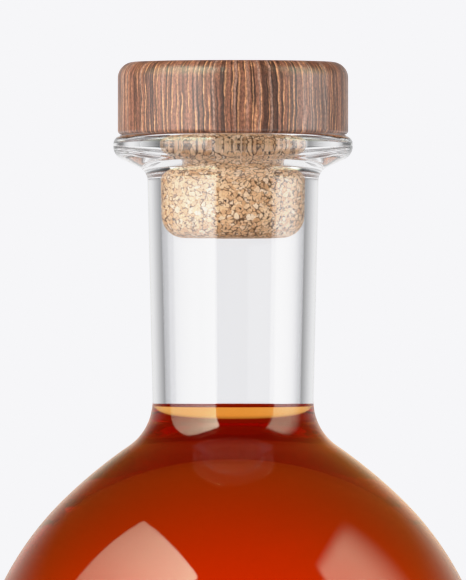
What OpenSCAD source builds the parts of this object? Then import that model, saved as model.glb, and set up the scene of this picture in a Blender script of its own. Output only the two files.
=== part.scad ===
// Aftershave bottle: a round glass flask with a long neck and a flanged lip,
// its filling, and a stopper made of a turned wooden head on a cork shank.
// Millimetres, +Z up, origin at the centre of the base.
// Every piece is turned about the Z axis, so each module revolves one outline.

/* [Flask] */
// Outside diameter at the widest ring
flask_d = 68.4; // [56:0.2:84]
// Height of the widest ring above the table
widest_z = 22.5; // [18:0.5:30]
// Radius of the arc that closes the belly above the widest ring
belly_r = 40.4; // [32:0.1:50]
// Radius of the flatter shoulder arc above the belly arc
shoulder_r = 64; // [51:0.1:80]
// Angle above the horizontal at which the belly arc turns into the shoulder arc
shoulder_from = 45.6; // [38:0.5:52]
// Radius of the hollow throat arc between shoulder and neck
throat_r = 7; // [4:0.1:10]
// Thickness of the glass wall
wall_t = 1.7; // [1.2:0.1:2.6]

/* [Base] */
// Outside diameter of the flat ring that the bottle stands on
foot_d = 36; // [30:0.2:44]
// Width of that flat ring
foot_w = 2.4; // [1.5:0.1:4]
// Outside radius of the heel between ring and belly
heel_r = 4; // [2.5:0.1:6]
// Height of the pushed-up middle of the base
punt_h = 2.5; // [1:0.1:4]
// Thickness of the glass in the base
base_t = 5.5; // [3:0.1:7]
// Inside radius between floor and belly
floor_r = 5; // [3:0.1:7]

/* [Neck] */
// Outside diameter of the neck at the throat
neck_d = 21; // [17.4:0.1:25.4]
// Length from the throat up to the top of the lip
neck_l = 34.6; // [29:0.1:42]
// Angle by which the neck, its bore and the cork widen upwards
neck_taper = 1.3; // [0.5:0.1:2]

/* [Lip] */
// Outside diameter of the lip
lip_d = 31.2; // [29:0.1:38]
// Radius of the lip's upper edge
lip_top_r = 1.2; // [0.6:0.1:1.4]
// Depth of the lip's rim, from its top to the centre of its lower edge
lip_rim_h = 1.5; // [1.4:0.1:2.6]
// Radius of the lip's lower edge
lip_under_r = 1.8; // [1:0.1:2.4]
// Slope of the lip's underside from the horizontal
lip_slope = 25; // [15:1:35]
// Radius of the fillet between the lip's underside and the neck
lip_fillet_r = 2; // [1:0.1:3]
// Radius of the mouth's inner edge
mouth_r = 0.5; // [0.2:0.1:1]

/* [Filling] */
// Distance of the liquid's level below the throat
fill_below_throat = 0.4; // [0:0.1:10]

/* [Stopper] */
// Diameter of the wooden head
head_d = 30; // [26:0.1:36]
// Height of the wooden head
head_h = 9.5; // [8:0.1:12]
// Radius of the head's upper edge
head_top_r = 2.1; // [1:0.1:3]
// Radius of the head's lower edge
head_under_r = 0.5; // [0.2:0.1:1]
// Rise of the head's top face from its edge to its middle
head_crown = 0.05; // [0:0.01:0.4]
// Length of cork that stands in the neck
cork_in_neck = 13.4; // [11:0.1:17]
// Radius of the cork's lower edge
cork_edge_r = 3; // [1:0.1:4]
// Depth of the socket that the cork is glued into
socket_h = 3.2; // [2:0.1:4.5]
// Chamfer around the cork's glued end
cork_chamfer = 0.4; // [0.2:0.1:0.8]

/* [Fits] */
// Gap between cork and bore
cork_gap = 0.05; // [0.02:0.01:0.1]
// Gap between the head's underside and the lip
seat_gap = 0.05; // [0.02:0.01:0.1]
// Gap between the liquid and the glass
fill_gap = 0.03; // [0.02:0.01:0.05]
// Gap around the cork in its socket
socket_gap = 0.03; // [0.02:0.01:0.06]
// Thickness of the glue film between cork and socket
glue_t = 0.15; // [0.1:0.05:0.3]

/* [Hidden] */

$fn = 96;
chord = 2.5;    // longest straight step along an arc
turn = 12;      // largest turn of one step, in degrees
dome_steps = 8; // steps along a pushed-up floor
eps = 0.01;     // overshoot of a cut past the face it starts from

// --- outline helpers -------------------------------------------------------

// Points of an arc about c from angle a0 to angle a1, in degrees
function arc(c, r, a0, a1) =
    let (sweep = abs(a1 - a0), n = ceil(max(2, sweep / turn, sweep * PI / 180 * r / chord)))
    [for (i = [0:n]) let (a = a0 + (a1 - a0) * i / n) c + r * [cos(a), sin(a)]];

// Unit vector at an angle
function along(a) = [cos(a), sin(a)];

// Point whose distances along the two directions n1 and n2 are d1 and d2
function meet(n1, d1, n2, d2) =
    let (det = n1[0] * n2[1] - n1[1] * n2[0])
    [d1 * n2[1] - d2 * n1[1], n1[0] * d2 - n2[0] * d1] / det;

// Pushed-up middle: a raised cosine from radius r at height z up to the axis
function dome(z, r, rise) =
    [for (i = [0:dome_steps]) let (s = i / dome_steps) [r * (1 - s), z + rise * (1 - cos(180 * s)) / 2]];

function reversed(points) = [for (i = [len(points) - 1:-1:0]) points[i]];

// --- flask outline, from the widest ring upwards ---------------------------

flask_r = flask_d / 2;
belly_c = [flask_r - belly_r, widest_z];
shoulder_c = belly_c - (shoulder_r - belly_r) * along(shoulder_from);
throat_cr = neck_d / 2 + throat_r;
throat_z = shoulder_c[1] + sqrt(pow(shoulder_r + throat_r, 2) - pow(throat_cr - shoulder_c[0], 2));
throat_c = [throat_cr, throat_z];
shoulder_to = atan2(throat_z - shoulder_c[1], throat_cr - shoulder_c[0]);

// Belly, shoulder and throat of the outside pushed in by t; t = 0 is the outside itself
function upper_outline(t) = concat(
    arc(belly_c, belly_r - t, 0, shoulder_from),
    arc(shoulder_c, shoulder_r - t, shoulder_from, shoulder_to),
    arc(throat_c, throat_r + t, 180 + shoulder_to, 180 - neck_taper));

// --- foot and floor --------------------------------------------------------

foot_r = foot_d / 2;
skirt_in = flask_r - foot_r;
// Lower belly arc: upright at the widest ring and tangent to the heel
skirt_r = (pow(skirt_in, 2) + pow(widest_z - heel_r, 2) - pow(heel_r, 2)) / (2 * (skirt_in - heel_r));
skirt_c = [flask_r - skirt_r, widest_z];
heel_c = [foot_r, heel_r];
heel_to = atan2(heel_c[1] - skirt_c[1], heel_c[0] - skirt_c[0]);

function floor_c(t) =
    let (z = base_t + t - wall_t + floor_r, reach = skirt_r - t - floor_r)
    [skirt_c[0] + sqrt(pow(reach, 2) - pow(widest_z - z, 2)), z];

// Floor, corner and lower belly of the inside, at a distance t from the outside
function lower_inside(t) =
    let (c = floor_c(t), to = atan2(c[1] - skirt_c[1], c[0] - skirt_c[0]))
    concat(
        reversed(dome(c[1] - floor_r, c[0], punt_h)),
        arc(c, floor_r, -90, to),
        arc(skirt_c, skirt_r - t, to, 0));

// --- neck, bore and lip ----------------------------------------------------

lip_z = throat_z + neck_l;
lip_r = lip_d / 2;
bore_r0 = throat_cr - (throat_r + wall_t) / cos(neck_taper);
function bore_r(z) = bore_r0 + (z - throat_z) * tan(neck_taper);

lip_top_c = [lip_r - lip_top_r, lip_z - lip_top_r];
lip_under_c = [lip_r - lip_under_r, lip_z - lip_rim_h];
under_n = along(lip_slope - 90); // outward normal of the lip's underside
neck_n = along(-neck_taper);     // outward normal of the neck
neck_foot = throat_c + throat_r * along(180 - neck_taper);
fillet_c = meet(
    under_n, lip_under_c * under_n + lip_under_r + lip_fillet_r,
    neck_n, neck_foot * neck_n + lip_fillet_r);
mouth_cz = lip_z - mouth_r;
mouth_c = [bore_r(mouth_cz) + mouth_r / cos(neck_taper), mouth_cz];

// --- stopper ---------------------------------------------------------------

head_z = lip_z + seat_gap;
head_r = head_d / 2;
cork_z = lip_z - cork_in_neck;
function cork_r(z) = bore_r(z) - cork_gap / cos(neck_taper);
cork_end_r = cork_r(lip_z);
socket_z = head_z + socket_h;
glue_z = socket_z - glue_t;
fill_z = throat_z - fill_below_throat;

// --- pieces ----------------------------------------------------------------

// Blown flask with a thick, pushed-up base and a flanged lip
module glass_bottle() {
    color([0.85, 0.9, 0.92, 0.45])
        rotate_extrude()
            polygon(concat(
                reversed(dome(0, foot_r - foot_w, punt_h)),
                arc(heel_c, heel_r, -90, heel_to),
                arc(skirt_c, skirt_r, heel_to, 0),
                upper_outline(0),
                arc(fillet_c, lip_fillet_r, 180 - neck_taper, 90 + lip_slope),
                arc(lip_under_c, lip_under_r, lip_slope - 90, 0),
                arc(lip_top_c, lip_top_r, 0, 90),
                arc(mouth_c, mouth_r, 90, 180 - neck_taper),
                reversed(upper_outline(wall_t)),
                reversed(lower_inside(wall_t))));
}

// The filling, up to its level at the foot of the neck
module aftershave_liquid() {
    t = wall_t + fill_gap;
    color([0.72, 0.18, 0.02, 0.9])
        rotate_extrude()
            intersection() {
                polygon(concat(lower_inside(t), upper_outline(t), [[0, throat_z + throat_r]]));
                square([flask_r, fill_z]);
            }
}

// Turned head, bored out from below for the cork
module wood_cap() {
    top_r = head_r - head_top_r;
    top_z = head_z + head_h - head_crown;
    socket_r = cork_end_r + socket_gap;
    color("rosybrown")
        difference() {
            rotate_extrude()
                polygon(concat(
                    [[0, head_z]],
                    arc([head_r - head_under_r, head_z + head_under_r], head_under_r, -90, 0),
                    arc([top_r, top_z - head_top_r], head_top_r, 0, 90),
                    dome(top_z, top_r, head_crown)));
            translate([0, 0, head_z - eps])
                cylinder(r = socket_r, h = socket_h + eps);
        }
}

// Moulded cork: follows the bore up to the lip, then runs straight into the socket
module cork_shank() {
    edge_z = cork_z + cork_edge_r;
    edge_c = [cork_r(edge_z) - cork_edge_r / cos(neck_taper), edge_z];
    color("burlywood")
        rotate_extrude()
            polygon(concat(
                [[0, cork_z]],
                arc(edge_c, cork_edge_r, -90, -neck_taper),
                [[cork_end_r, lip_z],
                 [cork_end_r, glue_z - cork_chamfer],
                 [cork_end_r - cork_chamfer, glue_z],
                 [0, glue_z]]));
}

// Film of glue on the cork's end
module glue_film() {
    color("lightyellow")
        translate([0, 0, glue_z])
            cylinder(r = cork_end_r - cork_chamfer, h = glue_t);
}

glass_bottle();
aftershave_liquid();
wood_cap();
cork_shank();
glue_film();
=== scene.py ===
"""Aftershave bottle: a clear glass flask with an amber filling and a wood and cork stopper.

The pieces follow each other as the bottle is put together: flask, filling, cork, glue,
wooden head. The table, the studio light and the camera come last. +Z is up. Sizes are in
millimetres here, and become metres where they go into a mesh or a material.
"""

import bpy
import numpy as np
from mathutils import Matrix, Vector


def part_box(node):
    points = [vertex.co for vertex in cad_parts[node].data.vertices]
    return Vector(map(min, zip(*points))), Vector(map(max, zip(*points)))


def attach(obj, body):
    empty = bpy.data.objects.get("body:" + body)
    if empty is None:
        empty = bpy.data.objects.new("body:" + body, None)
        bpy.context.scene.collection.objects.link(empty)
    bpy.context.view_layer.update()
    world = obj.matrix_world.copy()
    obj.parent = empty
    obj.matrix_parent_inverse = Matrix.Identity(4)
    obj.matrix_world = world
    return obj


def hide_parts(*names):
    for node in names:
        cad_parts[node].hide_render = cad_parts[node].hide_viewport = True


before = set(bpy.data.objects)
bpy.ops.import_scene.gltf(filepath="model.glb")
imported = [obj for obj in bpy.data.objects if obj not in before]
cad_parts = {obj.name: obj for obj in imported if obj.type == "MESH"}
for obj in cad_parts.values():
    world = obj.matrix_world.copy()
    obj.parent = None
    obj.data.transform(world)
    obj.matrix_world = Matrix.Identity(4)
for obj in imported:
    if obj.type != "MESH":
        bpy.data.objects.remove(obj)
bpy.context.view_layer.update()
MM = 0.001

# --- Glass flask ------------------------------------------------------------
# One blown piece of clear flint glass: round body on a pushed-up base, hollow throat,
# long neck and flanged lip. It was blown in a mould and the lip was fire-polished.

flask_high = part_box("glass_bottle")[1]
FLASK_R = flask_high.x / MM      # widest radius
LIP_Z = flask_high.z / MM        # top of the lip
WIDEST_Z = 22.5                  # height of the widest ring
BELLY_R, SHOULDER_R = 40.4, 64.0
SHOULDER_FROM = 45.6             # degrees above level where belly turns into shoulder
THROAT_R, NECK_R = 7.0, 10.5
NECK_TAPER = 1.3                 # degrees by which the neck widens upwards
WALL = 1.7
FOOT_R, FOOT_W, HEEL_R = 18.0, 2.4, 4.0
PUNT_H, BASE_T, FLOOR_R = 2.5, 5.5, 5.0
LIP_R, LIP_TOP_R, LIP_RIM_H, LIP_UNDER_R = 15.6, 1.2, 1.5, 1.8
LIP_SLOPE, LIP_FILLET_R, MOUTH_R = 25.0, 2.0, 0.5
GLASS_STEPS = 192                # steps round the flask and its filling
SAME_POINT = 0.0001              # points of an outline that are nearer than this are one
FILL_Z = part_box("aftershave_liquid")[1].z / MM
FILL_CLEAR = 0.05                # no ring of the inner wall is nearer to the liquid's edge
GLASS_IOR, LIQUID_IOR = 1.5, 1.36
GLASS_TINT = "fcfcfe"
# colour of the painted sheen at the edge of the glass around the filling
AMBER_PAINTED_SHEEN = "f0a850"


def along(degrees):
    """Unit vector at an angle in the (radius, height) plane."""
    a = np.radians(degrees)
    return np.array([np.cos(a), np.sin(a)])


def arc(centre, radius, a0, a1, step=3.0):
    """Points of an arc about centre from angle a0 to a1, no further than step degrees apart."""
    a = np.radians(np.linspace(a0, a1, int(np.ceil(abs(a1 - a0) / step)) + 1))
    return np.array(centre) + radius * np.stack([np.cos(a), np.sin(a)], 1)


def line(p, q, near=0.15):
    """A straight run from p to q with one point close to each end, which keeps its shading flat."""
    p, q = np.array(p, float), np.array(q, float)
    share = near / np.linalg.norm(q - p)
    s = np.array([0.0, share, 0.5, 1 - share, 1.0]) if share < 0.4 else np.array([0.0, 1.0])
    return p + (q - p) * s[:, None]


def dome(radius, z, rise, count=24):
    """Pushed-up middle from the axis out to radius: height z plus a raised cosine of the radius."""
    r = np.linspace(0, radius, count)
    return np.stack([r, z + rise * (1 + np.cos(np.pi * r / radius)) / 2], 1)


def meet(n1, d1, n2, d2):
    """Point whose distances along the directions n1 and n2 are d1 and d2."""
    return np.linalg.solve(np.array([n1, n2]), np.array([d1, d2]))


def joined(*runs):
    """The runs end to end, without the points that repeat."""
    points = np.concatenate(runs)
    apart = np.linalg.norm(np.diff(points, axis=0), axis=1) > SAME_POINT
    return points[np.concatenate([[True], apart])]


def turned(name, outline, steps, dent=None):
    """Surface turned about Z: (r cos a, r sin a, z) for each point (r, z) of the outline.

    The outline runs from the axis round the piece and back to the axis, so both poles close
    with a fan. dent(points) may move the points before they go into the mesh.
    """
    r, z = outline[1:-1].T
    a = np.linspace(0, 2 * np.pi, steps, endpoint=False)
    rings = np.stack([np.outer(r, np.cos(a)), np.outer(r, np.sin(a)), np.outer(z, np.ones(steps))], 2)
    poles = [[0, 0, outline[0, 1]], [0, 0, outline[-1, 1]]]
    points = np.concatenate([rings.reshape(-1, 3), poles])
    if dent is not None:
        points = dent(points)
    i, j = np.meshgrid(np.arange(len(r) - 1), np.arange(steps), indexing="ij")
    here, there = i * steps + j, i * steps + (j + 1) % steps
    quads = np.stack([here, there, there + steps, here + steps], 2).reshape(-1, 4)
    ring, onward = np.arange(steps), (np.arange(steps) + 1) % steps
    last = (len(r) - 1) * steps
    foot = np.stack([onward, ring, np.full(steps, len(points) - 2)], 1)
    head = np.stack([last + ring, last + onward, np.full(steps, len(points) - 1)], 1)
    mesh = bpy.data.meshes.new(name)
    mesh.from_pydata((points * MM).tolist(), [], quads.tolist() + foot.tolist() + head.tolist())
    mesh.polygons.foreach_set("use_smooth", np.ones(len(mesh.polygons), bool))
    mesh.validate()
    piece = bpy.data.objects.new(name, mesh)
    bpy.context.scene.collection.objects.link(piece)
    return piece


belly_c = np.array([FLASK_R - BELLY_R, WIDEST_Z])
shoulder_c = belly_c - (SHOULDER_R - BELLY_R) * along(SHOULDER_FROM)
throat_cr = NECK_R + THROAT_R
throat_z = shoulder_c[1] + np.sqrt((SHOULDER_R + THROAT_R) ** 2 - (throat_cr - shoulder_c[0]) ** 2)
throat_c = np.array([throat_cr, throat_z])
shoulder_to = np.degrees(np.arctan2(throat_z - shoulder_c[1], throat_cr - shoulder_c[0]))
skirt_in = FLASK_R - FOOT_R
skirt_r = (skirt_in**2 + (WIDEST_Z - HEEL_R) ** 2 - HEEL_R**2) / (2 * (skirt_in - HEEL_R))
skirt_c = np.array([FLASK_R - skirt_r, WIDEST_Z])


def angle_at_skirt(point):
    """Angle of a point seen from the centre of the lower belly arc, in degrees."""
    return np.degrees(np.arctan2(*(np.array(point) - skirt_c)[::-1]))


def upper_outline(t):
    """Belly, shoulder and throat: three tangent arcs, all pushed in from the outside by t."""
    return joined(
        arc(belly_c, BELLY_R - t, 0, SHOULDER_FROM, 1.2),
        arc(shoulder_c, SHOULDER_R - t, SHOULDER_FROM, shoulder_to, 0.8),
        arc(throat_c, THROAT_R + t, 180 + shoulder_to, 180 - NECK_TAPER, 2.5))


def lower_inside(t):
    """Floor, its corner and the lower belly arc of the inside, pushed in from the outside by t."""
    z = BASE_T + t - WALL + FLOOR_R
    r = skirt_c[0] + np.sqrt((skirt_r - t - FLOOR_R) ** 2 - (WIDEST_Z - z) ** 2)
    to = angle_at_skirt((r, z))
    return joined(
        dome(r, z - FLOOR_R, PUNT_H),
        arc((r, z), FLOOR_R, -90, to, 5),
        arc(skirt_c, skirt_r - t, to, 0, 1.5))


def bore_r(z, inset=0.0):
    """Radius of the bore at height z, less an inset measured square to its wall."""
    taper = np.radians(NECK_TAPER)
    return throat_cr - (THROAT_R + WALL + inset) / np.cos(taper) + (z - throat_z) * np.tan(taper)


def throat_wall(z, t):
    """Radius of the throat at height z, pushed in from the outside by t."""
    return throat_cr - np.sqrt((THROAT_R + t) ** 2 - (z - throat_z) ** 2)


def lip_outline():
    """Fillet under the lip, sloping underside, rounded rim, flat top and the mouth's edge."""
    under_n, neck_n = along(LIP_SLOPE - 90), along(-NECK_TAPER)
    under_c = np.array([LIP_R - LIP_UNDER_R, LIP_Z - LIP_RIM_H])
    top_c = np.array([LIP_R - LIP_TOP_R, LIP_Z - LIP_TOP_R])
    neck_foot = throat_c + THROAT_R * along(180 - NECK_TAPER)
    fillet_c = meet(under_n, under_c @ under_n + LIP_UNDER_R + LIP_FILLET_R,
                    neck_n, neck_foot @ neck_n + LIP_FILLET_R)
    mouth_z = LIP_Z - MOUTH_R
    mouth_c = np.array([bore_r(mouth_z) + MOUTH_R / np.cos(np.radians(NECK_TAPER)), mouth_z])
    fillet = arc(fillet_c, LIP_FILLET_R, 180 - NECK_TAPER, 90 + LIP_SLOPE, 4)
    under = arc(under_c, LIP_UNDER_R, LIP_SLOPE - 90, 0, 4)
    top = arc(top_c, LIP_TOP_R, 0, 90, 5)
    mouth = arc(mouth_c, MOUTH_R, 90, 180 - NECK_TAPER, 9)
    return joined(line(neck_foot, fillet[0]), fillet, line(fillet[-1], under[0]), under,
                  line(under[-1], top[0]), top, line(top[-1], mouth[0]), mouth)


def linear(hex_colour, alpha=1.0):
    """An sRGB hex colour as linear red, green, blue and alpha."""
    c = np.array([int(hex_colour[i:i + 2], 16) for i in (0, 2, 4)]) / 255
    c = np.where(c <= 0.04045, c / 12.92, ((c + 0.055) / 1.055) ** 2.4)
    return (*c.tolist(), alpha)


def add(tree, kind, inputs=None, stops=(), **settings):
    """Adds a node with its settings, and sets or links its inputs by name or number.

    stops are a colour ramp's: positions with sRGB hex colours, in rising order.
    """
    node = tree.nodes.new(kind)
    for key, value in settings.items():
        setattr(node, key, value)
    for key, value in (inputs or {}).items():
        if isinstance(value, bpy.types.NodeSocket):
            tree.links.new(value, node.inputs[key])
        else:
            node.inputs[key].default_value = value
    if stops:
        marks = node.color_ramp.elements
        marks.remove(marks[1])
        for k, (position, colour) in enumerate(stops):
            mark = marks[0] if k == 0 else marks.new(position)
            mark.position, mark.color = position, linear(colour)
    return node


def bare_material(name):
    """A new material and its tree, still without nodes."""
    made = bpy.data.materials.new(name)
    made.use_nodes = True
    made.node_tree.nodes.clear()
    return made, made.node_tree


def clear(name, ior, tint="ffffff", lets_light_by=False, painted_sheen=None):
    """A smooth clear surface between two media, whose indices have the ratio ior.

    lets_light_by leaves it out of the way of the light that falls on matt pieces behind it.
    The colour given last is that of a painted sheen: an amber bloom where the surface is seen edge on,
    which stands in for light that the filling throws out there.
    """
    made, tree = bare_material(name)
    surface = add(tree, "ShaderNodeBsdfPrincipled", {
        "Base Color": linear(tint), "Roughness": 0.0, "IOR": ior, "Transmission Weight": 1.0,
        "Sheen Weight": 1.0 if painted_sheen else 0.0, "Sheen Roughness": 0.3,
        "Sheen Tint": linear(painted_sheen or tint)}).outputs[0]
    if lets_light_by:
        path = add(tree, "ShaderNodeLightPath").outputs
        matt = add(tree, "ShaderNodeMath", {0: path["Is Shadow Ray"], 1: path["Is Diffuse Ray"]},
                   operation="MAXIMUM").outputs[0]
        through = add(tree, "ShaderNodeBsdfTransparent").outputs[0]
        surface = add(tree, "ShaderNodeMixShader", {0: matt, 1: surface, 2: through}).outputs[0]
    add(tree, "ShaderNodeOutputMaterial", {"Surface": surface})
    return made


def past(run, piece):
    """1 for each face of a turned piece past the first run of its outline, and 0 up to there.

    The faces go ring by ring, and end with the fan at the first pole and the one at the last.
    """
    kind = np.zeros(len(piece.data.polygons), np.int32)
    kind[(len(run) - 1) * GLASS_STEPS:] = 1
    kind[-2 * GLASS_STEPS:-GLASS_STEPS] = 0
    return kind


heel_to = angle_at_skirt((FOOT_R, HEEL_R))
outside = joined(
    dome(FOOT_R - FOOT_W, 0, PUNT_H),
    line((FOOT_R - FOOT_W, 0), (FOOT_R, 0)),
    arc((FOOT_R, HEEL_R), HEEL_R, -90, heel_to, 6),
    arc(skirt_c, skirt_r, heel_to, 0, 1.5),
    upper_outline(0), lip_outline())
inside = joined(upper_outline(WALL)[::-1], lower_inside(WALL)[::-1])
dry = joined(outside, line(outside[-1], inside[0]), inside[inside[:, 1] > FILL_Z + FILL_CLEAR])
wet = joined([[throat_wall(FILL_Z, WALL), FILL_Z]], inside[inside[:, 1] < FILL_Z - FILL_CLEAR])
glass = turned("flask_glass", joined(dry, wet), GLASS_STEPS)
# flint glass, blown and fire-polished: quite smooth, and colourless but for a breath of blue,
# so that it shows by what it mirrors and bends
flint = clear("flint_glass", GLASS_IOR, GLASS_TINT, True)
# the same where the filling wets it: glass bends light less against a liquid than against
# air, so the inner wall all but vanishes there
wetted = clear("flint_glass_wetted", GLASS_IOR / LIQUID_IOR, GLASS_TINT, True)
# the same on the outside around the filling, with a painted amber sheen at the edge: it stands in for
# light that the filling throws into the wall, which leaves it at a low angle as an amber bloom
over_filling = clear("flint_glass_over_filling", GLASS_IOR, GLASS_TINT, True, AMBER_PAINTED_SHEEN)
for made in (flint, wetted, over_filling):
    glass.data.materials.append(made)
kind = past(dry, glass)
centres = np.zeros(3 * len(kind))
glass.data.polygons.foreach_get("center", centres)
kind[(kind == 0) & (centres[2::3] < FILL_Z * MM)] = 2
glass.data.polygons.foreach_set("material_index", kind)
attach(glass, "bottle")
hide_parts("glass_bottle")

# --- Filling ----------------------------------------------------------------
# Aftershave, a clear amber-red mix of alcohol and water, filled up to the foot of the neck.
# It wets the glass, so its edge climbs the wall a little. Its colour comes from depth alone.

FILL_GAP = 0.03                  # between liquid and glass; the wetted glass does the bending
RIM_RISE, RIM_REACH = 0.6, 0.5   # how far the edge climbs, and over what distance it dies away
RIM_GAP, RIM_DROP = 0.004, 0.06  # the edge's own gap, and how far below it the full gap begins
ABSORBED = (6.0, 62.0, 172.0)    # how much red, green and blue are absorbed, per metre
DENSITY = 1.05 * max(ABSORBED)   # a little over the strongest, so that no share is below zero


def liquid_top(r_edge):
    """The level surface from its edge to the axis, with a rim that dies away exponentially."""
    away = np.concatenate([np.linspace(0, 4 * RIM_REACH, 14), np.linspace(5 * RIM_REACH, r_edge, 6)])
    return np.stack([r_edge - away, FILL_Z - RIM_RISE + RIM_RISE * np.exp(-away / RIM_REACH)], 1)


side = joined(lower_inside(WALL + FILL_GAP), upper_outline(WALL + FILL_GAP))
side = side[side[:, 1] < FILL_Z - 2 * FILL_CLEAR]
below_rim = FILL_Z - RIM_DROP
side = joined(side, [[throat_wall(below_rim, WALL + FILL_GAP), below_rim]])
top = liquid_top(throat_wall(FILL_Z, WALL) - RIM_GAP)
liquid = turned("filling", joined(side, top), GLASS_STEPS)
# aftershave next to the glass: nothing bends there, and the depth tints what comes through,
# from amber where it is shallow to red where it is deep
liquid.data.materials.append(clear("aftershave", 1.0))
# its free surface: as smooth as water, and mirrors at a low angle
liquid.data.materials.append(clear("aftershave_surface", LIQUID_IOR))
for made in liquid.data.materials:
    let_through = (*(1 - np.array(ABSORBED) / DENSITY).tolist(), 1.0)
    absorb = add(made.node_tree, "ShaderNodeVolumeAbsorption", {
        "Color": let_through, "Density": DENSITY}).outputs[0]
    made.node_tree.links.new(absorb, made.node_tree.nodes["Material Output"].inputs["Volume"])
liquid.data.polygons.foreach_set("material_index", past(side, liquid))
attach(liquid, "bottle")
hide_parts("aftershave_liquid")

# --- Cork shank -------------------------------------------------------------
# Composition cork: granules of half a millimetre to a millimetre, glued and moulded to a plug
# with a rounded end. It fills the bore but for a film of air, and its top is glued in the head.

cork_low, cork_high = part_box("cork_shank")
CORK_GAP = 0.05
CORK_EDGE_R, CORK_CHAMFER = 3.0, 0.4
CORK_STEPS = 400
GRAIN = 0.6                      # size of the granules
JOINT_W, JOINT_D = 0.12, 0.05    # joint between granules: share of one that it takes, and depth
BROKEN_FROM, BROKEN_D = 0.93, 0.22   # granules numbered from here on broke out, this deep
SEAM, BARK = "553014", "24130a"


def granules(p, size):
    """Cell noise: distance from each point to its nearest and second nearest granule centre, in
    sizes, and the nearest granule's number from 0 to 1.

    Each cube of the given size holds one centre. Its place in the cube is the part after the
    point of a large multiple of the sine of a weighted sum of the cube's own three numbers.
    """
    cell = np.floor(p / size)
    best = np.full((3, len(p)), 9.0)
    for step in np.ndindex(3, 3, 3):
        c = cell + np.array(step) - 1
        seed = c @ np.array([[127.1, 269.5, 113.5], [311.7, 183.3, 271.9], [74.7, 246.1, 124.6]])
        jitter = np.sin(seed) * 43758.5453 % 1
        d = np.linalg.norm(p / size - c - jitter, axis=1)
        nearer, second = d < best[0], (d >= best[0]) & (d < best[1])
        best[1] = np.where(nearer, best[0], np.where(second, d, best[1]))
        best[2] = np.where(nearer, jitter[:, 0], best[2])
        best[0] = np.where(nearer, d, best[0])
    return best


def cork_dents(points):
    """Pulls the surface in along the joints between granules and over the few that broke out.

    A joint is a bell curve of the difference between the two nearest centres' distances, and a
    granule that broke out is a pit, deepest at its centre. The way in is level towards the
    axis, and turns upwards round the plug's lower edge.
    """
    near, second, number = granules(points, GRAIN)
    joint = np.exp(-((second - near) / JOINT_W) ** 2)
    pit = np.clip((number - BROKEN_FROM) / 0.02, 0, 1) * np.clip(1.2 - 1.6 * near, 0, 1)
    depth = JOINT_D * joint + BROKEN_D * pit
    outward = points.copy()
    outward[:, 2] = np.clip(points[:, 2] - (cork_low.z / MM + CORK_EDGE_R), -CORK_EDGE_R, 0)
    length = np.linalg.norm(outward, axis=1, keepdims=True)
    return points - depth[:, None] * outward / np.maximum(length, 0.3)


cork_z, cork_top = cork_low.z / MM, cork_high.z / MM
edge_z = cork_z + CORK_EDGE_R
edge_r = bore_r(edge_z, CORK_GAP) - CORK_EDGE_R / np.cos(np.radians(NECK_TAPER))
cork_edge = arc((edge_r, edge_z), CORK_EDGE_R, -90, -NECK_TAPER, 3)
cork_end_r = bore_r(LIP_Z, CORK_GAP)
cork_outline = joined(
    np.stack([np.linspace(0, edge_r, 44), np.full(44, cork_z)], 1), cork_edge,
    np.linspace(cork_edge[-1], (cork_end_r, LIP_Z), 76),
    [[cork_end_r, cork_top - CORK_CHAMFER], [cork_end_r - CORK_CHAMFER, cork_top], [0, cork_top]])
cork = turned("cork_plug", cork_outline, CORK_STEPS, cork_dents)

# composition cork, moulded and ground: quite matt, pale tan granules of many shades with thin
# brown joints and small dark bits of bark
cork_look, tree = bare_material("composition_cork")
place = add(tree, "ShaderNodeTexCoord").outputs["Object"]
# granules: cells bent out of shape by up to half a millimetre, each with its own tan
wander = add(tree, "ShaderNodeTexNoise", {"Vector": place, "Scale": 1 / (1.1 * MM), "Detail": 2.0})
bend = add(tree, "ShaderNodeVectorMath", {0: wander.outputs["Color"], 1: (0.5,) * 3},
           operation="SUBTRACT").outputs[0]
bent = add(tree, "ShaderNodeVectorMath", {0: bend, 1: (0.9 * MM,) * 3, 2: place},
           operation="MULTIPLY_ADD").outputs[0]
cells = add(tree, "ShaderNodeTexVoronoi", {"Vector": bent, "Scale": 1 / (GRAIN * MM)})
shade = add(tree, "ShaderNodeSeparateColor", {"Color": cells.outputs["Color"]}).outputs[0]
tan = add(tree, "ShaderNodeValToRGB", {"Fac": shade}, stops=(
    (0.0, "d9a676"), (0.25, "eab98a"), (0.55, "f3c799"), (0.85, "f8d2aa"), (1.0, "fddfc0")))
# joints: brown lines that come and go every half millimetre, drawn wider than the real ones,
# which are too thin to show
joint = add(tree, "ShaderNodeTexVoronoi", {"Vector": bent, "Scale": 1 / (GRAIN * MM)},
            feature="DISTANCE_TO_EDGE")
come_and_go = add(tree, "ShaderNodeTexNoise", {
    "Vector": place, "Scale": 1 / (0.5 * MM), "Detail": 1.0})
width = add(tree, "ShaderNodeMapRange", {
    "Value": come_and_go.outputs[0], "From Min": 0.42, "From Max": 0.62, "To Min": 0.01, "To Max": 0.19})
seam = add(tree, "ShaderNodeMath", {0: joint.outputs["Distance"], 1: width.outputs[0]},
           operation="DIVIDE", use_clamp=True).outputs[0]
# bark: dark specks of up to half a cell of 0.42 mm, in the cells with the highest numbers
bits = add(tree, "ShaderNodeTexVoronoi", {"Vector": bent, "Scale": 1 / (0.42 * MM)})
which = add(tree, "ShaderNodeSeparateColor", {"Color": bits.outputs["Color"]})
size = add(tree, "ShaderNodeMapRange", {
    "Value": which.outputs[0], "From Min": 0.62, "From Max": 1.0, "To Min": 0.001, "To Max": 0.5})
speck = add(tree, "ShaderNodeMath", {0: bits.outputs["Distance"], 1: size.outputs[0]},
            operation="DIVIDE", use_clamp=True)
speck = add(tree, "ShaderNodeMath", {0: speck.outputs[0], 1: 3.0}, operation="POWER").outputs[0]
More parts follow.
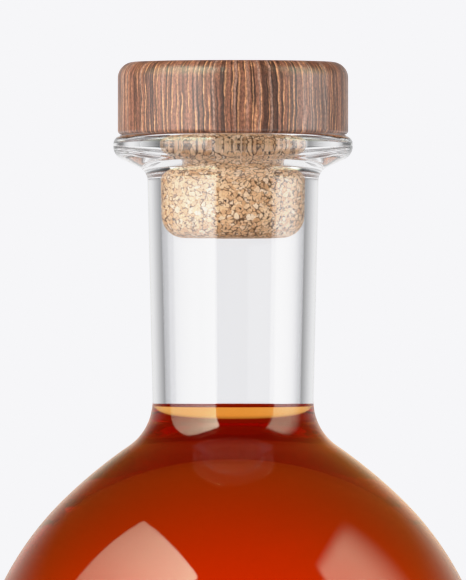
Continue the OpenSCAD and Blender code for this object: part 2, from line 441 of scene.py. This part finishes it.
# mottle: the cork's own cells, 0.04 mm across, drawn at 0.22 mm so that they show
fine = add(tree, "ShaderNodeTexNoise", {"Vector": place, "Scale": 1 / (0.22 * MM), "Detail": 2.0})
mottle = add(tree, "ShaderNodeMapRange", {
    "Value": fine.outputs[0], "From Min": 0.3, "From Max": 0.7, "To Min": 0.78, "To Max": 1.16})
skin = add(tree, "ShaderNodeMix", {"Factor": seam, "A": linear(SEAM), "B": tan.outputs["Color"]},
           data_type="RGBA").outputs["Result"]
skin = add(tree, "ShaderNodeMix", {"Factor": speck, "A": linear(BARK), "B": skin},
           data_type="RGBA").outputs["Result"]
skin = add(tree, "ShaderNodeVectorMath", {0: skin, "Scale": mottle.outputs[0]},
           operation="SCALE").outputs[0]
relief = add(tree, "ShaderNodeMath", {0: seam, 1: speck}, operation="MULTIPLY").outputs[0]
bump = add(tree, "ShaderNodeBump", {"Height": relief, "Distance": 0.1 * MM, "Strength": 0.7})
shader = add(tree, "ShaderNodeBsdfPrincipled", {
    "Base Color": skin, "Roughness": 0.85, "Normal": bump.outputs[0]})
add(tree, "ShaderNodeOutputMaterial", {"Surface": shader.outputs[0]})
cork.data.materials.append(cork_look)
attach(cork, "stopper")
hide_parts("cork_shank")

# --- Glue -------------------------------------------------------------------
# A thin film of dried white glue between the cork's end and the floor of the head's socket.
# It is out of sight, and keeps the shape that the design gives it.

# dried PVA glue, brushed on: cream, half glossy, and cloudy over a few millimetres
glue_look, tree = bare_material("dried_pva_glue")
place = add(tree, "ShaderNodeTexCoord").outputs["Object"]
cloud = add(tree, "ShaderNodeTexNoise", {"Vector": place, "Scale": 1 / (3 * MM)}).outputs[0]
cream = add(tree, "ShaderNodeMix", {"Factor": cloud, "A": linear("d8ccaa"), "B": linear("efe6cc")},
            data_type="RGBA").outputs["Result"]
shader = add(tree, "ShaderNodeBsdfPrincipled", {"Base Color": cream, "Roughness": 0.4})
add(tree, "ShaderNodeOutputMaterial", {"Surface": shader.outputs[0]})
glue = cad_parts["glue_film"]
glue.data.materials.clear()
glue.data.materials.append(glue_look)

# --- Wooden head ------------------------------------------------------------
# Turned from dark streaked hardwood, its grain upright on the side and carried over the
# rounded edge, sanded and given a thin satin lacquer. A socket below takes the cork.

head_low, head_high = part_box("wood_cap")
HEAD_R = head_high.x / MM
HEAD_TOP_R, HEAD_UNDER_R, HEAD_CROWN = 2.1, 0.5, 0.05
HEAD_STEPS = 256
SOCKET_GAP, SOCKET_H = 0.03, 3.2
SOCKET_EDGE_R, SOCKET_CORNER = 0.15, 0.01
head_z, head_top = head_low.z / MM, head_high.z / MM - HEAD_CROWN
socket_r, socket_z = cork_end_r + SOCKET_GAP, head_z + SOCKET_H
socket_edge = (socket_r + SOCKET_EDGE_R, head_z + SOCKET_EDGE_R)
top_r = HEAD_R - HEAD_TOP_R
crown = np.linspace(top_r, 0, 14)
head_outline = joined(
    [[0, socket_z]], line((socket_r - 0.4, socket_z), (socket_r - SOCKET_CORNER, socket_z)),
    line((socket_r, socket_z - SOCKET_CORNER), (socket_r, socket_edge[1])),
    arc(socket_edge, SOCKET_EDGE_R, 180, 270, 15),
    line((socket_edge[0], head_z), (HEAD_R - HEAD_UNDER_R, head_z)),
    arc((HEAD_R - HEAD_UNDER_R, head_z + HEAD_UNDER_R), HEAD_UNDER_R, -90, 0, 9),
    line((HEAD_R, head_z + HEAD_UNDER_R), (HEAD_R, head_top - HEAD_TOP_R)),
    arc((top_r, head_top - HEAD_TOP_R), HEAD_TOP_R, 0, 90, 4),
    np.stack([crown, head_top + HEAD_CROWN * (1 - crown / top_r)], 1))
head = turned("head_wood", head_outline, HEAD_STEPS)

UPRIGHT = 0.02                   # share of a height that moves the side's pattern on
PITH = (12, 30)                  # middle of the growth rings that the top face cuts
RINGS_ON = 0.06                  # share of a way across the top that moves the rings' pattern on
TOP_TO = (0.87, 0.9)             # shares of the radius between which top grain turns into side grain
SWAY_OVER, SWAY = 4, 0.45        # the grain sways this far over this length
VEIN_GAP = 0.75                  # from one vein to the next
GROUND = ((0.2, "4e3024"), (0.36, "724833"), (0.5, "8e5b43"), (0.62, "a06c54"), (0.8, "ae9484"))
ORANGE_VEIN, DARK_VEIN = "dea070", "2e1b16"

# rosewood, turned, sanded and sprayed with satin lacquer: red-brown ground in streaks, with
# fine orange and nearly black veins and open pores, under a soft gloss
wood_look, tree = bare_material("lacquered_rosewood")
place = add(tree, "ShaderNodeTexCoord").outputs["Object"]
apart = add(tree, "ShaderNodeSeparateXYZ", {0: place}).outputs
flat = add(tree, "ShaderNodeCombineXYZ", {0: apart[0], 1: apart[1]}).outputs[0]
out = add(tree, "ShaderNodeVectorMath", {0: flat}, operation="LENGTH").outputs["Value"]
# place in the side's grain: the nearest place on the side, almost without its height
edge = add(tree, "ShaderNodeMath", {0: HEAD_R * MM, 1: out}, operation="DIVIDE").outputs[0]
around = add(tree, "ShaderNodeVectorMath", {0: flat, "Scale": edge}, operation="SCALE").outputs[0]
rise = add(tree, "ShaderNodeMath", {0: apart[2], 1: UPRIGHT}, operation="MULTIPLY").outputs[0]
lift = add(tree, "ShaderNodeCombineXYZ", {2: rise}).outputs[0]
around = add(tree, "ShaderNodeVectorMath", {0: around, 1: lift}, operation="ADD").outputs[0]
# place in the top's grain: the radius of the growth ring, almost without the way along it
from_pith = add(tree, "ShaderNodeVectorMath", {0: flat, 1: (PITH[0] * MM, PITH[1] * MM, 0)},
                operation="SUBTRACT").outputs[0]
ring = add(tree, "ShaderNodeVectorMath", {0: from_pith}, operation="LENGTH").outputs["Value"]
on = add(tree, "ShaderNodeMath", {0: apart[0], 1: RINGS_ON}, operation="MULTIPLY").outputs[0]
rings = add(tree, "ShaderNodeCombineXYZ", {0: ring, 1: on}).outputs[0]
# the two together, swayed
on_side = add(tree, "ShaderNodeMapRange", {
    "Value": out, "From Min": TOP_TO[0] * HEAD_R * MM, "From Max": TOP_TO[1] * HEAD_R * MM,
    "To Min": 0.0, "To Max": 1.0}, interpolation_type="SMOOTHSTEP").outputs[0]
grain = add(tree, "ShaderNodeMix", {"Factor": on_side, "A": rings, "B": around},
            data_type="VECTOR").outputs["Result"]
sway = add(tree, "ShaderNodeTexNoise", {
    "Vector": place, "Scale": 1 / (SWAY_OVER * MM), "Detail": 2.0}).outputs["Color"]
sway = add(tree, "ShaderNodeVectorMath", {0: sway, 1: (0.5,) * 3}, operation="SUBTRACT").outputs[0]
grain = add(tree, "ShaderNodeVectorMath", {0: sway, 1: (SWAY * MM,) * 3, 2: grain},
            operation="MULTIPLY_ADD").outputs[0]
# the way across the grain: the arc round the side from the front, or the ring's radius
behind = add(tree, "ShaderNodeMath", {0: apart[1], 1: -1.0}, operation="MULTIPLY").outputs[0]
turn = add(tree, "ShaderNodeMath", {0: apart[0], 1: behind}, operation="ARCTAN2").outputs[0]
turn = add(tree, "ShaderNodeMath", {0: turn, 1: HEAD_R * MM}, operation="MULTIPLY").outputs[0]
across = add(tree, "ShaderNodeMix", {"Factor": on_side, "A": ring, "B": turn}).outputs["Result"]
aside = add(tree, "ShaderNodeSeparateXYZ", {0: sway}).outputs[0]
across = add(tree, "ShaderNodeMath", {0: aside, 1: 2 * SWAY * MM, 2: across},
             operation="MULTIPLY_ADD").outputs[0]


def streaks(width, detail, shift):
    """Noise drawn out along the grain, streaks about width mm across, from 0 to 1 around 0.5.

    The shift takes it from another height, where its pattern is another one.
    """
    beside = add(tree, "ShaderNodeVectorMath", {0: grain, 1: (0, 0, shift * MM)}, operation="ADD")
    return add(tree, "ShaderNodeTexNoise", {
        "Vector": beside.outputs[0], "Scale": 1 / (width * MM), "Detail": detail,
        "Roughness": 0.6}).outputs[0]


def bands(apart_by, shift, feature="F1"):
    """Cells in one dimension, across the grain: bands about apart_by mm wide."""
    moved = add(tree, "ShaderNodeMath", {0: across, 1: shift * MM}, operation="ADD").outputs[0]
    return add(tree, "ShaderNodeTexVoronoi", {"W": moved, "Scale": 1 / (apart_by * MM)},
               voronoi_dimensions="1D", feature=feature)


def veins(width, shift, seed):
    """Lines along the grain on the edges of bands, at most width mm wide.

    They come and go over 0.9 mm across the grain and some 6 mm along it. The seed takes that
    from another height.
    """
    away = bands(VEIN_GAP, shift, "DISTANCE_TO_EDGE").outputs["Distance"]
    drawn = add(tree, "ShaderNodeVectorMath", {0: place, 1: (1, 1, 0.15)},
                operation="MULTIPLY").outputs[0]
    drawn = add(tree, "ShaderNodeVectorMath", {0: drawn, 1: (0, 0, seed * MM)},
                operation="ADD").outputs[0]
    come_and_go = add(tree, "ShaderNodeTexNoise", {
        "Vector": drawn, "Scale": 1 / (0.9 * MM), "Detail": 1.0}).outputs[0]
    wide = add(tree, "ShaderNodeMapRange", {
        "Value": come_and_go, "From Min": 0.4, "From Max": 0.62,
        "To Min": 0.001, "To Max": 0.5 * width / VEIN_GAP}).outputs[0]
    share = add(tree, "ShaderNodeMath", {0: away, 1: wide}, operation="DIVIDE", use_clamp=True)
    return add(tree, "ShaderNodeMath", {0: 1.0, 1: share.outputs[0]},
               operation="SUBTRACT").outputs[0]


# ground: soft streaks of 1.6 mm and sharp bands of 0.4 mm, as early and late wood lie
board = add(tree, "ShaderNodeSeparateColor", {"Color": bands(0.4, 20).outputs["Color"]}).outputs[0]
broad = add(tree, "ShaderNodeMix", {"Factor": 0.45, "A": streaks(1.6, 3.0, 0), "B": board})
ground = add(tree, "ShaderNodeValToRGB", {"Fac": broad.outputs["Result"]}, stops=GROUND)
tone = add(tree, "ShaderNodeMix", {
    "Factor": veins(0.34, 0, 40), "A": ground.outputs["Color"], "B": linear(ORANGE_VEIN)},
    data_type="RGBA").outputs["Result"]
tone = add(tree, "ShaderNodeMix", {
    "Factor": veins(0.42, 0.2, 80), "A": tone, "B": linear(DARK_VEIN)},
    data_type="RGBA").outputs["Result"]
# fibres and pores: real ones are 0.02 and 0.1 mm wide, and are drawn at 0.22 and 0.2 mm
# so that they show
fibre = add(tree, "ShaderNodeMapRange", {
    "Value": streaks(0.22, 2.0, 120), "From Min": 0.3, "From Max": 0.7,
    "To Min": 0.6, "To Max": 1.26}).outputs[0]
tone = add(tree, "ShaderNodeVectorMath", {0: tone, "Scale": fibre}, operation="SCALE").outputs[0]
squeezed = add(tree, "ShaderNodeVectorMath", {0: place, 1: (1, 1, 0.5)},
               operation="MULTIPLY").outputs[0]
pore = add(tree, "ShaderNodeTexNoise", {
    "Vector": squeezed, "Scale": 1 / (0.2 * MM), "Detail": 1.0}).outputs[0]
pore = add(tree, "ShaderNodeMapRange", {
    "Value": pore, "From Min": 0.3, "From Max": 0.7, "To Min": 0.58, "To Max": 1.36}).outputs[0]
tone = add(tree, "ShaderNodeVectorMath", {0: tone, "Scale": pore}, operation="SCALE").outputs[0]
bump = add(tree, "ShaderNodeBump", {"Height": fibre, "Distance": 0.03 * MM, "Strength": 0.5})
shader = add(tree, "ShaderNodeBsdfPrincipled", {
    "Base Color": tone, "Roughness": 0.36, "Specular IOR Level": 0.8, "Normal": bump.outputs[0]})
add(tree, "ShaderNodeOutputMaterial", {"Surface": shader.outputs[0]})
head.data.materials.append(wood_look)
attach(head, "stopper")
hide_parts("wood_cap")

# --- Table ------------------------------------------------------------------
# A plain pale table: a sheet of opal acrylic with a painted glow, as if lamps were under it. It is
# brighter away from the bottle than under it, a painted shade around the bottle.

TABLE_R, TABLE_T, TABLE_STEPS = 900.0, 20.0, 64
# painted glow of the table: distance from the axis, and the glow there
PAINTED_GLOW_NEAR, PAINTED_GLOW_FAR = (60.0, 0.27), (170.0, 0.9)     # distance from the axis, and glow there
table_outline = joined([[0, -TABLE_T], [TABLE_R, -TABLE_T], [TABLE_R, 0], [0, 0]])
table = turned("table", table_outline, TABLE_STEPS)
table.data.polygons.foreach_set("use_smooth", np.zeros(len(table.data.polygons), bool))
# opal acrylic sheet, frosted: quite matt and without a mirror image, with a painted glow from within
# that is dimmer near the bottle, like a broad shade
table_look, tree = bare_material("frosted_acrylic")
place = add(tree, "ShaderNodeTexCoord").outputs["Object"]
away = add(tree, "ShaderNodeVectorMath", {0: place}, operation="LENGTH").outputs["Value"]
painted_glow = add(tree, "ShaderNodeMapRange", {
    "Value": away, "From Min": PAINTED_GLOW_NEAR[0] * MM, "From Max": PAINTED_GLOW_FAR[0] * MM,
    "To Min": PAINTED_GLOW_NEAR[1], "To Max": PAINTED_GLOW_FAR[1]}, interpolation_type="SMOOTHSTEP").outputs[0]
shader = add(tree, "ShaderNodeBsdfPrincipled", {
    "Base Color": linear("787879"), "Roughness": 0.8, "Specular IOR Level": 0.0,
    "Emission Color": (1, 1, 1, 1), "Emission Strength": painted_glow})
add(tree, "ShaderNodeOutputMaterial", {"Surface": shader.outputs[0]})
table.data.materials.append(table_look)

# --- Studio light -----------------------------------------------------------
# A dark room with a glow low on the backdrop behind the bottle and a soft box on each side,
# warmer towards its top. All of it is far away, so it is painted on the sky by direction.
# Matt surfaces get half of it, evened out by a little light from all around.

BACKDROP = "f6f6f8"
GLOW, GLOW_FULL, GLOW_END = 1.0, 5.0, 73.0           # strength; degrees off its middle it fades over
GLOW_TOP = (0.12, 0.5)                               # sine of the angle upwards it fades over
MATT_SHARE, ALL_ROUND = 0.5, 0.15
# normal of the box's plane; its ends along the plane with the strength and softness there; its
# top with the softness there; how much of the strength is left level with the bottle
SOFT_BOXES = (
    ((-0.94, -0.342, 0.0), (-1.0, 10.4, 0.03), (0.6, 3.1, 0.03), (2.04, 0.04), 0.44),
    ((0.997, -0.075, 0.0), (-0.6, 3.8, 0.05), (0.15, 3.3, 0.3), (1.42, 0.15), 1.0),
)
BOX_EDGE_ON = (0.01, 0.03)                           # a box seen more edge on than this fades
BOX_FOOT = (-0.4, -0.3)                              # height over which its lower end fades
BOX_FULL = 1.3                                       # height from which it has its full strength
WARM, WARM_FROM, WARM_TO = (0.9, 1.0, 0.72), 0.1, 0.5   # tint, and the heights where it comes in
# a ray that has met more surfaces than DEEP finds light between the two bounds after it, which
# stands for stray light in the room and keeps black spots and glints out of the filling
DEEP, DEEP_LEAST, DEEP_MOST = 4.5, 0.32, 1.0
SHOULDER, WHITE = 0.7, 2.4                           # exposures where whites roll off and end
CURVE_AT = (0.35, 0.7, 0.8, 0.9, 1.0, 1.15, 1.35, 1.7)


def rolled(x):
    """Brightness x as the picture shows it: unchanged up to s = SHOULDER, and from there
    1 - (1 - s) e^-((x - s) / (1 - s))."""
    return x if x < SHOULDER else 1 - (1 - SHOULDER) * np.exp((SHOULDER - x) / (1 - SHOULDER))


def unrolled(y):
    """The brightness that rolled() turns into y."""
    return y if y < SHOULDER else SHOULDER - (1 - SHOULDER) * np.log((1 - y) / (1 - SHOULDER))


# whites roll off softly, so that pale glass in front of a pale backdrop keeps its shades
view = bpy.context.scene.view_settings
view.view_transform = "Standard"
view.use_curve_mapping = True
view.curve_mapping.white_level = (WHITE,) * 3
curve = view.curve_mapping.curves[3]
curve.points[1].location = (1.0, rolled(WHITE))
for x in CURVE_AT:
    curve.points.new(x / WHITE, rolled(x))
view.curve_mapping.update()

# the flask and its filling bend a ray up to six times on each side, and mirror it between
cycles = bpy.context.scene.cycles
cycles.max_bounces = cycles.transmission_bounces = 48
cycles.glossy_bounces = 24

world = bpy.data.worlds.new("studio")
bpy.context.scene.world = world
world.use_nodes = True
tree = world.node_tree
tree.nodes.clear()
look = add(tree, "ShaderNodeTexCoord").outputs["Generated"]


def painted(*fades):
    """Brightness of a light by direction: the product of its fades.

    A fade is a measure of the direction, the two values between which it fades, the levels
    before and after them, and how it fades.
    """
    light = None
    for measure, v0, v1, level0, level1, manner in fades:
        fade = add(tree, "ShaderNodeMapRange", {
            "Value": measure, "From Min": v0, "From Max": v1, "To Min": level0, "To Max": level1},
            interpolation_type=manner).outputs[0]
        light = fade if light is None else add(
            tree, "ShaderNodeMath", {0: light, 1: fade}, operation="MULTIPLY").outputs[0]
    return light


path = add(tree, "ShaderNodeLightPath").outputs
# no matt surface has been met; and the ray was just mirrored or bent
clean = add(tree, "ShaderNodeMath", {0: path["Diffuse Depth"], 1: 0.5},
            operation="LESS_THAN").outputs[0]
mirrored = add(tree, "ShaderNodeMath", {0: path["Is Glossy Ray"], 1: path["Is Transmission Ray"]},
               operation="MAXIMUM").outputs[0]
mirrored = add(tree, "ShaderNodeMath", {0: mirrored, 1: clean}, operation="MULTIPLY").outputs[0]
rise = add(tree, "ShaderNodeVectorMath", {0: look, 1: (0, 0, 1)},
           operation="DOT_PRODUCT").outputs["Value"]
back = add(tree, "ShaderNodeVectorMath", {0: look, 1: (0, 1, 0)},
           operation="DOT_PRODUCT").outputs["Value"]
off_middle = add(tree, "ShaderNodeMath", {0: back}, operation="ARCCOSINE").outputs[0]
light = painted(
    (off_middle, np.radians(GLOW_FULL), np.radians(GLOW_END), GLOW, 0.0, "LINEAR"),
    (rise, *GLOW_TOP, 1.0, 0.0, "SMOOTHSTEP"))
for normal, (t0, bright0, soft0), (t1, bright1, soft1), (top, soft_top), level in SOFT_BOXES:
    facing = add(tree, "ShaderNodeVectorMath", {0: look, 1: normal},
                 operation="DOT_PRODUCT").outputs["Value"]
    sideways = add(tree, "ShaderNodeVectorMath", {0: look, 1: (normal[1], abs(normal[0]), 0)},
                   operation="DOT_PRODUCT").outputs["Value"]
    across = add(tree, "ShaderNodeMath", {0: sideways, 1: facing}, operation="DIVIDE").outputs[0]
    height = add(tree, "ShaderNodeMath", {0: rise, 1: facing}, operation="DIVIDE").outputs[0]
    box = painted(
        (facing, *BOX_EDGE_ON, 0.0, 1.0, "LINEAR"),
        (across, t0 - soft0, t0 + soft0, 0.0, 1.0, "SMOOTHSTEP"),
        (across, t1 - soft1, t1 + soft1, 1.0, 0.0, "SMOOTHSTEP"),
        (height, top - soft_top, top + soft_top, 1.0, 0.0, "SMOOTHSTEP"),
        (height, *BOX_FOOT, 0.0, 1.0, "LINEAR"),
        (across, t0, t1, bright0, bright1, "LINEAR"),
        (height, 0.0, BOX_FULL, level, 1.0, "LINEAR"))
    upper = painted((height, WARM_FROM, WARM_TO, 0.0, 1.0, "LINEAR"))
    upper = add(tree, "ShaderNodeMath", {0: upper, 1: mirrored}, operation="MULTIPLY").outputs[0]
    warm = add(tree, "ShaderNodeMix", {"Factor": upper, "A": (1, 1, 1, 1), "B": (*WARM, 1.0)},
               data_type="RGBA").outputs["Result"]
    light = add(tree, "ShaderNodeVectorMath", {0: warm, 1: box, 2: light},
                operation="MULTIPLY_ADD").outputs[0]

deep = add(tree, "ShaderNodeMath", {0: path["Ray Depth"], 1: DEEP},
           operation="GREATER_THAN").outputs[0]
bounded = add(tree, "ShaderNodeVectorMath", {0: light, 1: (DEEP_LEAST,) * 3},
              operation="MAXIMUM").outputs[0]
bounded = add(tree, "ShaderNodeVectorMath", {0: bounded, 1: (DEEP_MOST,) * 3},
              operation="MINIMUM").outputs[0]
light = add(tree, "ShaderNodeMix", {"Factor": deep, "A": light, "B": bounded},
            data_type="RGBA").outputs["Result"]
evened = add(tree, "ShaderNodeVectorMath", {0: light, 1: (MATT_SHARE,) * 3, 2: (ALL_ROUND,) * 3},
             operation="MULTIPLY_ADD").outputs[0]
light = add(tree, "ShaderNodeMix", {"Factor": clean, "A": evened, "B": light},
            data_type="RGBA").outputs["Result"]
studio = add(tree, "ShaderNodeBackground", {"Color": light, "Strength": 1.0})
seen = (*[unrolled(c) for c in linear(BACKDROP)[:3]], 1.0)
backdrop = add(tree, "ShaderNodeBackground", {"Color": seen, "Strength": 1.0})
both = add(tree, "ShaderNodeMixShader", {
    0: path["Is Camera Ray"], 1: studio.outputs[0], 2: backdrop.outputs[0]})
add(tree, "ShaderNodeOutputWorld", {"Surface": both.outputs[0]})

# --- Camera -----------------------------------------------------------------
# Level with the middle of the bottle and far off, so that there is almost no perspective. It
# looks slightly up at the neck, and shows the bottle from its head to below the shoulder.

DISTANCE, EYE_Z, AIM_Z = 2.4, 0.0568, 0.0786         # metres, as everything below
VIEW_HEIGHT = 0.0754                                 # what the view takes in from foot to top
camera = bpy.data.objects.new("camera", bpy.data.cameras.new("camera"))
bpy.context.scene.collection.objects.link(camera)
camera.data.sensor_width = 36.0
camera.data.lens = camera.data.sensor_width * DISTANCE / VIEW_HEIGHT
camera.data.clip_end = 100.0
camera.location = (0.0, -DISTANCE, EYE_Z)
camera.rotation_euler = (np.pi / 2 + np.arctan2(AIM_Z - EYE_Z, DISTANCE), 0.0, 0.0)
bpy.context.scene.camera = camera
